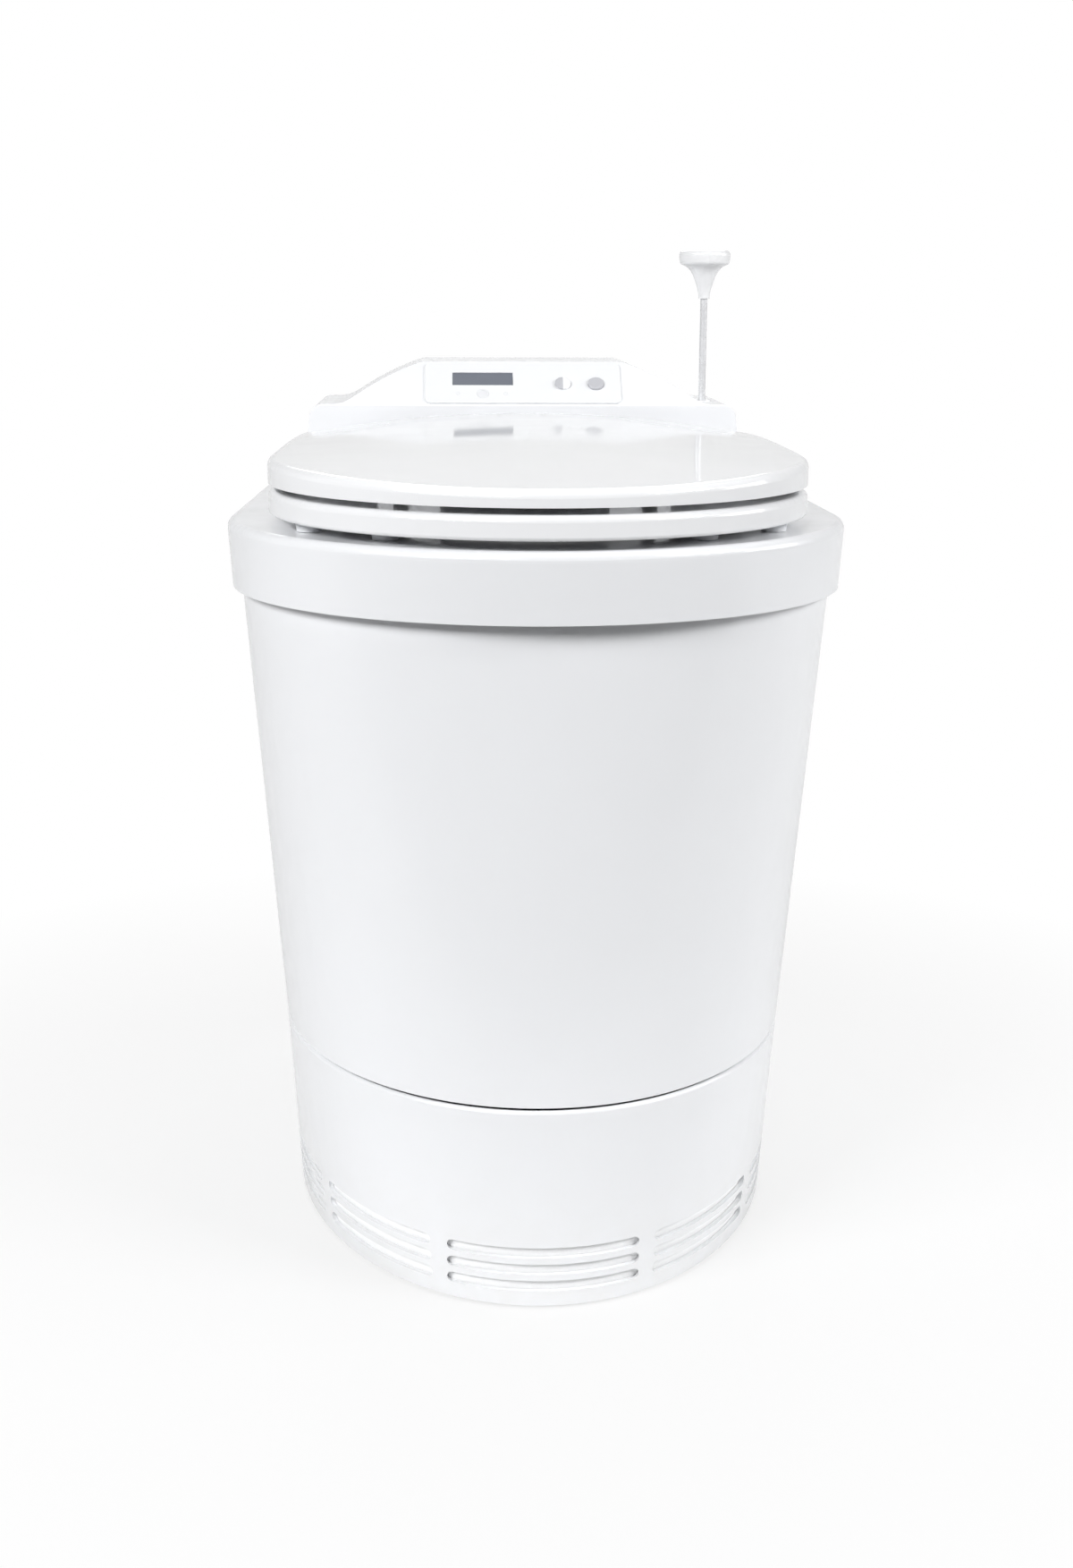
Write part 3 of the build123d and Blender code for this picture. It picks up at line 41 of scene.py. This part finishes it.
class Tree:
    """A material and its nodes, with object coordinates ready."""

    def __init__(self, name):
        self.material = bpy.data.materials.new(name)
        self.material.use_nodes = True
        self.nodes = self.material.node_tree.nodes
        self.links = self.material.node_tree.links
        self.shader = self.nodes["Principled BSDF"]
        self.place = self.nodes.new("ShaderNodeTexCoord").outputs["Object"]

    def link(self, start, end):
        self.links.new(start, end)

    def stretch(self, scale):
        """Object coordinates stretched along X, Y and Z."""
        node = self.nodes.new("ShaderNodeMapping")
        node.inputs["Scale"].default_value = scale
        self.link(self.place, node.inputs["Vector"])
        return node.outputs["Vector"]

    def noise(self, scale, detail=2.0, vector=None, roughness=0.5):
        node = self.nodes.new("ShaderNodeTexNoise")
        node.inputs["Scale"].default_value = scale
        node.inputs["Detail"].default_value = detail
        node.inputs["Roughness"].default_value = roughness
        self.link(vector or self.place, node.inputs["Vector"])
        return node.outputs["Fac"]

    def spread(self, value, low, high, start=0.3, end=0.7):
        """Map a noise value to a range."""
        node = self.nodes.new("ShaderNodeMapRange")
        node.inputs["From Min"].default_value = start
        node.inputs["From Max"].default_value = end
        node.inputs["To Min"].default_value = low
        node.inputs["To Max"].default_value = high
        self.link(value, node.inputs["Value"])
        return node.outputs["Result"]

    def blend(self, share, first, second):
        """Mix two colours; each is a colour or a socket."""
        node = self.nodes.new("ShaderNodeMix")
        node.data_type = "RGBA"
        for socket, value in ((node.inputs[6], first), (node.inputs[7], second)):
            if isinstance(value, tuple):
                socket.default_value = (*value, 1)
            else:
                self.link(value, socket)
        self.link(share, node.inputs[0])
        return node.outputs[2]

    def times(self, first, second):
        node = self.nodes.new("ShaderNodeMath")
        node.operation = "MULTIPLY"
        for socket, value in ((node.inputs[0], first), (node.inputs[1], second)):
            if isinstance(value, (int, float)):
                socket.default_value = value
            else:
                self.link(value, socket)
        return node.outputs[0]

    def edges(self, start, end):
        """High on sharp outward edges, from the mesh itself."""
        geometry = self.nodes.new("ShaderNodeNewGeometry")
        return self.spread(geometry.outputs["Pointiness"], 0.0, 1.0, start, end)

    def height(self, low, high):
        """Runs from 1 at the low height to 0 at the high one."""
        split = self.nodes.new("ShaderNodeSeparateXYZ")
        self.link(self.place, split.inputs[0])
        return self.spread(split.outputs["Z"], 1.0, 0.0, low, high)

    def bump(self, value, strength, distance, under=None):
        node = self.nodes.new("ShaderNodeBump")
        node.inputs["Strength"].default_value = strength
        node.inputs["Distance"].default_value = distance
        self.link(value, node.inputs["Height"])
        if under is not None:
            self.link(under, node.inputs["Normal"])
        return node.outputs["Normal"]

    def finish(self, colour, roughness, normal, **fixed):
        """Join the sockets to the shader and set its plain values."""
        self.link(colour, self.shader.inputs["Base Color"])
        self.link(roughness, self.shader.inputs["Roughness"])
        if normal is not None:
            self.link(normal, self.shader.inputs["Normal"])
        for name, value in fixed.items():
            self.shader.inputs[name.replace("_", " ")].default_value = value
        return self.material


def gloss_plastic(name, colour, bottom_colour, low=0.16, high=0.24, peel=0.05, bottom_amount=0.35):
    """Moulded glossy plastic: faint orange peel, cloudy gloss, colour darker and warmer towards the bottom."""
    tree = Tree(name)
    cloud = tree.spread(tree.noise(7.0, 3.0), 0.0, 1.0)
    shade = tuple(c * 0.985 for c in colour)
    tone = tree.blend(cloud, colour, shade)
    # Colour turns darker and warmer towards the bottom, over the lowest 9 cm, in noisy patches.
    bottom_darkening = tree.times(tree.height(0.0, 0.09), tree.spread(tree.noise(55.0, 4.0), 0.0, bottom_amount))
    tone = tree.blend(bottom_darkening, tone, bottom_colour)
    smear = tree.noise(18.0, 4.0, tree.stretch((1.0, 1.0, 0.35)))
    roughness = tree.spread(smear, low, high)
    ripple = tree.bump(tree.noise(260.0, 1.0), peel, 0.0004)
    fine = tree.bump(tree.noise(1800.0, 0.0), peel * 0.5, 0.0001, ripple)
    return tree.finish(tone, roughness, fine, IOR=1.49, Coat_Weight=0.25, Coat_Roughness=0.06)


def matte_plastic(name, colour, rough=0.5, grain=0.15, scale=900.0):
    """Moulded plastic with a fine spark-eroded grain."""
    tree = Tree(name)
    tone = tree.blend(tree.spread(tree.noise(30.0, 3.0), 0.0, 1.0), colour, tuple(c * 0.93 for c in colour))
    tone = tree.blend(tree.times(tree.edges(0.52, 0.62), 0.4), tone, tuple(min(1.0, c * 1.15 + 0.01) for c in colour))
    roughness = tree.spread(tree.noise(120.0, 3.0), rough - 0.06, rough + 0.08)
    grain_normal = tree.bump(tree.noise(scale, 2.0), grain, 0.0003)
    return tree.finish(tone, roughness, grain_normal, IOR=1.47)


def rubber(name, colour, rough=0.75):
    """Soft rubber with a dry bloom and a fine bump."""
    tree = Tree(name)
    bloom = tree.spread(tree.noise(60.0, 5.0), 0.0, 1.0, 0.42, 0.75)
    tone = tree.blend(bloom, colour, tuple(c * 0.9 + 0.03 for c in colour))
    roughness = tree.spread(tree.noise(200.0, 3.0), rough - 0.08, rough + 0.1)
    return tree.finish(tone, roughness, tree.bump(tree.noise(700.0, 3.0), 0.25, 0.0003), IOR=1.52)


def brushed(name, colour, along, rough=0.28, tint=None, grain=0.12):
    """Brushed or drawn sheet metal; along stretches the grain."""
    tree = Tree(name)
    lines = tree.noise(220.0, 4.0, tree.stretch(along), 0.7)
    tone = tree.blend(tree.spread(lines, 0.0, 1.0), colour, tuple(c * 0.86 for c in colour))
    if tint is not None:
        tone = tree.blend(tree.times(tree.spread(tree.noise(9.0, 4.0), 0.0, 1.0), 0.7), tone, tint)
    tone = tree.blend(tree.times(tree.edges(0.52, 0.6), 0.5), tone, tuple(min(1.0, c * 1.2) for c in colour))
    roughness = tree.spread(lines, rough - 0.07, rough + 0.12)
    return tree.finish(tone, roughness, tree.bump(lines, grain, 0.0002), Metallic=1.0)


def zinc(name):
    """Galvanised sheet with spangle."""
    tree = Tree(name)
    cells = tree.nodes.new("ShaderNodeTexVoronoi")
    cells.inputs["Scale"].default_value = 130.0
    tree.link(tree.place, cells.inputs["Vector"])
    split = tree.nodes.new("ShaderNodeSeparateColor")
    tree.link(cells.outputs["Color"], split.inputs[0])
    tone = tree.blend(split.outputs[0], (0.60, 0.62, 0.65), (0.74, 0.76, 0.78))
    roughness = tree.spread(split.outputs[1], 0.34, 0.55, 0.0, 1.0)
    return tree.finish(tone, roughness, tree.bump(tree.noise(400.0, 2.0), 0.1, 0.0002), Metallic=0.9)


def polished(name, colour):
    """Chrome plate with faint wipe marks."""
    tree = Tree(name)
    tone = tree.blend(tree.spread(tree.noise(25.0, 4.0), 0.0, 1.0), colour, tuple(c * 0.94 for c in colour))
    roughness = tree.spread(tree.noise(90.0, 5.0, tree.stretch((1, 1, 0.2))), 0.06, 0.14)
    return tree.finish(tone, roughness, tree.bump(tree.noise(500.0, 1.0), 0.03, 0.0001), Metallic=1.0)


def satin_metal(name, colour):
    """Pale satin metal, half metallic, with fine turned lines."""
    tree = Tree(name)
    lines = tree.noise(300.0, 3.0, tree.stretch((1, 1, 6)))
    tone = tree.blend(tree.spread(lines, 0.0, 1.0), colour, tuple(c * 0.95 for c in colour))
    roughness = tree.spread(tree.noise(60.0, 4.0), 0.22, 0.34)
    return tree.finish(tone, roughness, tree.bump(lines, 0.02, 0.0001), Metallic=0.35)


def rough_solid(name, colour, second, scale, bump, rough):
    """Cast, ceramic or fibrous surface: blotchy colour and strong bump."""
    tree = Tree(name)
    blotch = tree.noise(scale, 6.0, None, 0.65)
    tone = tree.blend(tree.spread(blotch, 0.0, 1.0), colour, second)
    roughness = tree.spread(tree.noise(scale * 3, 3.0), rough - 0.1, min(1.0, rough + 0.1))
    return tree.finish(tone, roughness, tree.bump(blotch, bump, 0.0012))


def board(name):
    """Green solder mask with copper tracks that show as lighter lines."""
    tree = Tree(name)
    wave = tree.nodes.new("ShaderNodeTexWave")
    wave.wave_profile = "SAW"
    wave.inputs["Scale"].default_value = 60.0
    wave.inputs["Distortion"].default_value = 6.0
    tree.link(tree.place, wave.inputs["Vector"])
    lines = tree.spread(wave.outputs["Fac"], 0.0, 1.0, 0.80, 0.84)
    tone = tree.blend(lines, (0.015, 0.09, 0.04), (0.05, 0.2, 0.09))
    roughness = tree.spread(tree.noise(70.0), 0.28, 0.42)
    return tree.finish(tone, roughness, tree.bump(lines, 0.2, 0.0001))


def tinted_glass(name):
    """Dark slate display window, smooth and almost opaque."""
    tree = Tree(name)
    tone = tree.blend(tree.spread(tree.noise(40.0, 2.0), 0.0, 1.0), (0.125, 0.14, 0.175), (0.14, 0.155, 0.19))
    roughness = tree.spread(tree.noise(150.0, 3.0), 0.10, 0.17)
    return tree.finish(tone, roughness, None, IOR=1.5, Coat_Weight=0.3, Coat_Roughness=0.05)


white = (0.875, 0.885, 0.905)
# Darker, warmer tone that the glossy plastics take towards the bottom.
bottom_tone = (0.80, 0.79, 0.76)
looks = {
    "shell_white": gloss_plastic("look_shell", white, bottom_tone),
    "seat_white": gloss_plastic("look_seat", (0.89, 0.897, 0.912), bottom_tone, 0.07, 0.12, 0.02, 0.0),
    "panel_white": gloss_plastic("look_panel", (0.855, 0.865, 0.88), bottom_tone, 0.28, 0.36, 0.06, 0.0),
    "display_glass": tinted_glass("look_display"),
    "board_green": board("look_board"),
    "button_white": gloss_plastic("look_button", (0.89, 0.895, 0.905), bottom_tone, 0.2, 0.28, 0.03, 0.0),
    "button_grey": matte_plastic("look_button_grey", (0.54, 0.545, 0.575), 0.35, 0.08),
    "knob_white": gloss_plastic("look_knob", (0.85, 0.855, 0.865), bottom_tone, 0.22, 0.3, 0.004, 0.0),
    "clear_guide": matte_plastic("look_guide", (0.80, 0.81, 0.83), 0.35, 0.05),
    "chrome": polished("look_chrome", (0.80, 0.81, 0.83)),
    "stainless": brushed("look_stainless", (0.70, 0.70, 0.705), (1.0, 1.0, 14.0)),
    "heat_steel": brushed("look_heat_steel", (0.46, 0.43, 0.41), (1.0, 1.0, 8.0), 0.4, (0.30, 0.22, 0.24), 0.2),
    "zinc_steel": zinc("look_zinc"),
    "white_steel": matte_plastic("look_powder_coat", (0.84, 0.85, 0.865), 0.42, 0.3, 500.0),
    "black_rubber": rubber("look_black_rubber", (0.022, 0.022, 0.024)),
    "grey_rubber": rubber("look_grey_rubber", (0.3, 0.3, 0.31)),
    "white_rubber": rubber("look_white_rubber", (0.74, 0.75, 0.77), 0.5),
    "black_plastic": matte_plastic("look_black_plastic", (0.024, 0.024, 0.026), 0.5),
    "gear_plastic": matte_plastic("look_acetal", (0.76, 0.73, 0.64), 0.38, 0.06),
    "mineral_wool": rough_solid("look_wool", (0.70, 0.67, 0.56), (0.52, 0.50, 0.42), 160.0, 0.9, 0.85),
    "filter_white": rough_solid("look_filter", (0.93, 0.935, 0.94), (0.90, 0.905, 0.91), 420.0, 0.15, 0.85),
    "ceramic": rough_solid("look_ceramic", (0.76, 0.73, 0.67), (0.66, 0.62, 0.56), 220.0, 0.25, 0.6),
    "grate_iron": rough_solid("look_iron", (0.06, 0.055, 0.052), (0.13, 0.09, 0.07), 260.0, 0.5, 0.7),
    "brass": brushed("look_brass", (0.72, 0.53, 0.24), (14.0, 1.0, 1.0), 0.25),
}
looks_of_nodes = {"plunger_rod": satin_metal("look_rod", (0.73, 0.735, 0.75))}
slot_of = {part["node"]: part["material_slot"] for part in frame["record"]["subparts"]}
for node, thing in frame["nodes"].items():
    look = looks_of_nodes.get(node, looks[slot_of[node]])
    if not thing.data.materials:
        thing.data.materials.append(look)
    for index in range(len(thing.material_slots)):
        thing.material_slots[index].material = look


# Pieces that only show

def shell_piece(name, rows, thickness, away, look, body):
    """Thin sheet through rows of points, given its thickness by away(point), which rides a body."""
    mesh = bmesh.new()
    sides = []
    for lift in (0.0, thickness):
        sides.append([[mesh.verts.new(point + lift * away(point)) for point in row] for row in rows])
    outer, inner = sides
    last_row, last = len(rows) - 1, len(rows[0]) - 1
    for i in range(last_row):
        for j in range(last):
            for side in sides:
                mesh.faces.new((side[i][j], side[i][j + 1], side[i + 1][j + 1], side[i + 1][j]))
    for i in range(last_row):
        for j in (0, last):
            mesh.faces.new((outer[i][j], outer[i + 1][j], inner[i + 1][j], inner[i][j]))
    for j in range(last):
        for i in (0, last_row):
            mesh.faces.new((outer[i][j], outer[i][j + 1], inner[i][j + 1], inner[i][j]))
    bmesh.ops.recalc_face_normals(mesh, faces=mesh.faces)
    data = bpy.data.meshes.new(name)
    mesh.to_mesh(data)
    mesh.free()
    for face in data.polygons:
        face.use_smooth = True
    data.set_sharp_from_angle(angle=radians(40))
    data.materials.append(look)
    thing = bpy.data.objects.new(name, data)
    bpy.context.scene.collection.objects.link(thing)
    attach(thing, body)
    return thing


def vent_filter():
    """White fleece behind the vent slots of the drawer front, along the inside of the curve."""
    rows = []
    for z in (0.0100, 0.0180, 0.0265, 0.0350, 0.0435):
        share = (z - 0.002) / 0.131
        half = 0.164 + share * 0.005
        reach = 0.243 - share * 0.026
        centre = -0.297 + 0.028 - share * 0.0084 + reach
        row = []
        for n in range(73):
            angle = radians(-86 + 172 * n / 72)
            row.append(Vector(((half - 0.0034) * sin(angle), centre - (reach - 0.0034) * cos(angle), z)))
        rows.append(row)
    inward = lambda point: Vector((-point.x, -0.03 - point.y, 0)).normalized()
    return shell_piece("vent_filter", rows, 0.0009, inward, looks["filter_white"], "ash_drawer")


def start_mark():
    """Grey inlay over the left half of the start button's cap."""
    tilt = radians(43.2)
    out = Vector((0, -sin(tilt), cos(tilt)))
    up = Vector((0, cos(tilt), sin(tilt)))
    across = Vector((1, 0, 0))
    origin = Vector((0.0297, 0.1365, 0.5409)) - 0.002 * up
    profile = (
        (0.00005, 0.0036), (0.0026, 0.0036), (0.0050, 0.0036), (0.00544, 0.00353),
        (0.00574, 0.00334), (0.00593, 0.00304), (0.0060, 0.0027), (0.0060, 0.0024),
    )
    rows = []
    for radius, height in profile:
        row = []
        for n in range(25):
            angle = radians(90 + 180 * n / 24)
            row.append(origin + radius * (cos(angle) * across + sin(angle) * up) + height * out)
        rows.append(row)
    middle = origin + 0.001 * out
    inward = lambda point: (middle - point).normalized()
    mark = shell_piece("start_mark", rows, 0.0002, inward, looks["button_grey"], "start_button")
    return mark


vent_filter()
start_mark()


# Surroundings

def studio_floor():
    """Pale floor that keeps the soft shadow near the object and turns white to the camera further out."""
    mesh = bpy.data.meshes.new("studio_floor")
    half, front, back, rise, steps = 6.0, -0.62, 3.0, 3.6, 16
    rows = [(front, 0.0), (back - 1.5, 0.0)]
    for n in range(1, steps + 1):
        angle = pi / 2 * n / steps
        rows.append((back - 1.5 + 1.5 * sin(angle), 1.5 - 1.5 * cos(angle)))
    rows.append((back, rise))
    points = [(x, y, z) for y, z in rows for x in (-half, half)]
    faces = [(2 * n, 2 * n + 1, 2 * n + 3, 2 * n + 2) for n in range(len(rows) - 1)]
    mesh.from_pydata(points, [], faces)
    for face in mesh.polygons:
        face.use_smooth = True
    thing = bpy.data.objects.new("studio_floor", mesh)
    bpy.context.scene.collection.objects.link(thing)
    material = bpy.data.materials.new("studio_floor")
    material.use_nodes = True
    nodes, links = material.node_tree.nodes, material.node_tree.links
    shader = nodes["Principled BSDF"]
    shader.inputs["Base Color"].default_value = (0.78, 0.78, 0.78, 1)
    shader.inputs["Roughness"].default_value = 0.9
    shader.inputs["Specular IOR Level"].default_value = 0.0
    glow = nodes.new("ShaderNodeEmission")
    glow.inputs["Strength"].default_value = 1.0
    path = nodes.new("ShaderNodeLightPath")
    place = nodes.new("ShaderNodeTexCoord")
    far = nodes.new("ShaderNodeVectorMath")
    far.operation = "LENGTH"
    links.new(place.outputs["Object"], far.inputs[0])
    fade = nodes.new("ShaderNodeMapRange")
    fade.inputs["From Min"].default_value = 0.25
    fade.inputs["From Max"].default_value = 0.75
    fade.inputs["To Min"].default_value = 0.72
    fade.inputs["To Max"].default_value = 1.0
    links.new(far.outputs["Value"], fade.inputs["Value"])
    seen = nodes.new("ShaderNodeMath")
    seen.operation = "MULTIPLY"
    links.new(path.outputs["Is Camera Ray"], seen.inputs[0])
    links.new(fade.outputs["Result"], seen.inputs[1])
    share = nodes.new("ShaderNodeMath")
    share.operation = "MULTIPLY_ADD"
    share.inputs[1].default_value = 0.3
    links.new(path.outputs["Is Glossy Ray"], share.inputs[0])
    links.new(seen.outputs[0], share.inputs[2])
    mixer = nodes.new("ShaderNodeMixShader")
    links.new(share.outputs[0], mixer.inputs[0])
    links.new(shader.outputs[0], mixer.inputs[1])
    links.new(glow.outputs[0], mixer.inputs[2])
    links.new(mixer.outputs[0], nodes["Material Output"].inputs["Surface"])
    mesh.materials.append(material)


def lamp(name, turn, lift, distance, size, power):
    """Soft area lamp that looks at the object: turn in degrees from the front to the right, lift above level."""
    target = Vector((0, -0.05, 0.35))
    data = bpy.data.lights.new(name, "AREA")
    data.shape = "RECTANGLE"
    data.size, data.size_y = size
    data.energy = power
    thing = bpy.data.objects.new(name, data)
    bpy.context.scene.collection.objects.link(thing)
    turn, lift = radians(turn), radians(lift)
    away = Vector((sin(turn) * cos(lift), -cos(turn) * cos(lift), sin(lift)))
    thing.location = target + distance * away
    thing.rotation_euler = away.to_track_quat("Z", "Y").to_euler()


def surroundings():
    """World that gives an even soft light, white to the camera."""
    world = bpy.data.worlds.new("studio")
    world.use_nodes = True
    nodes, links = world.node_tree.nodes, world.node_tree.links
    nodes.clear()
    soft = nodes.new("ShaderNodeBackground")
    soft.inputs["Color"].default_value = (0.96, 0.98, 1.0, 1)
    soft.inputs["Strength"].default_value = 0.03
    plain = nodes.new("ShaderNodeBackground")
    plain.inputs["Color"].default_value = (1, 1, 1, 1)
    plain.inputs["Strength"].default_value = 1.0
    path = nodes.new("ShaderNodeLightPath")
    share = nodes.new("ShaderNodeMath")
    share.operation = "MULTIPLY_ADD"
    share.inputs[1].default_value = 0.66
    links.new(path.outputs["Is Glossy Ray"], share.inputs[0])
    links.new(path.outputs["Is Camera Ray"], share.inputs[2])
    mixer = nodes.new("ShaderNodeMixShader")
    out = nodes.new("ShaderNodeOutputWorld")
    links.new(share.outputs[0], mixer.inputs[0])
    links.new(soft.outputs[0], mixer.inputs[1])
    links.new(plain.outputs[0], mixer.inputs[2])
    links.new(mixer.outputs[0], out.inputs[0])
    bpy.context.scene.world = world


def camera():
    """Camera at the photograph's place and angle."""
    pitch, yaw, roll = 0.24, 0.04255, 0.00398
    ahead = Vector((sin(yaw) * cos(pitch), cos(yaw) * cos(pitch), -sin(pitch)))
    right = Vector((cos(yaw), -sin(yaw), 0))
    up = right.cross(ahead)
    tilted_right = cos(roll) * right + sin(roll) * up
    tilted_up = -sin(roll) * right + cos(roll) * up
    data = bpy.data.cameras.new("photo_camera")
    data.sensor_fit = "HORIZONTAL"
    data.sensor_width = 36.0
    data.lens = 36.0 * 2290 / 1200
    data.clip_start = 0.01
    thing = bpy.data.objects.new("photo_camera", data)
    bpy.context.scene.collection.objects.link(thing)
    axes = Matrix((tilted_right, tilted_up, -ahead)).transposed()
    thing.matrix_world = Matrix.Translation((-0.0548, -1.4171, 0.6141)) @ axes.to_4x4()
    bpy.context.scene.camera = thing


studio_floor()
surroundings()
camera()
lamp("key", -45, 30, 3.2, (1.6, 0.9), 73)
lamp("front", -25, 28, 3.2, (1.6, 0.6), 18)
lamp("right_front", 60, 30, 3.2, (1.4, 0.9), 54)
lamp("right", 90, 16, 3.2, (1.4, 0.8), 22)
lamp("top", 0, 80, 3.0, (1.6, 1.6), 4)
lamp("back", 180, 35, 3.2, (1.8, 1.2), 28)
bpy.context.scene.view_settings.view_transform = "Standard"
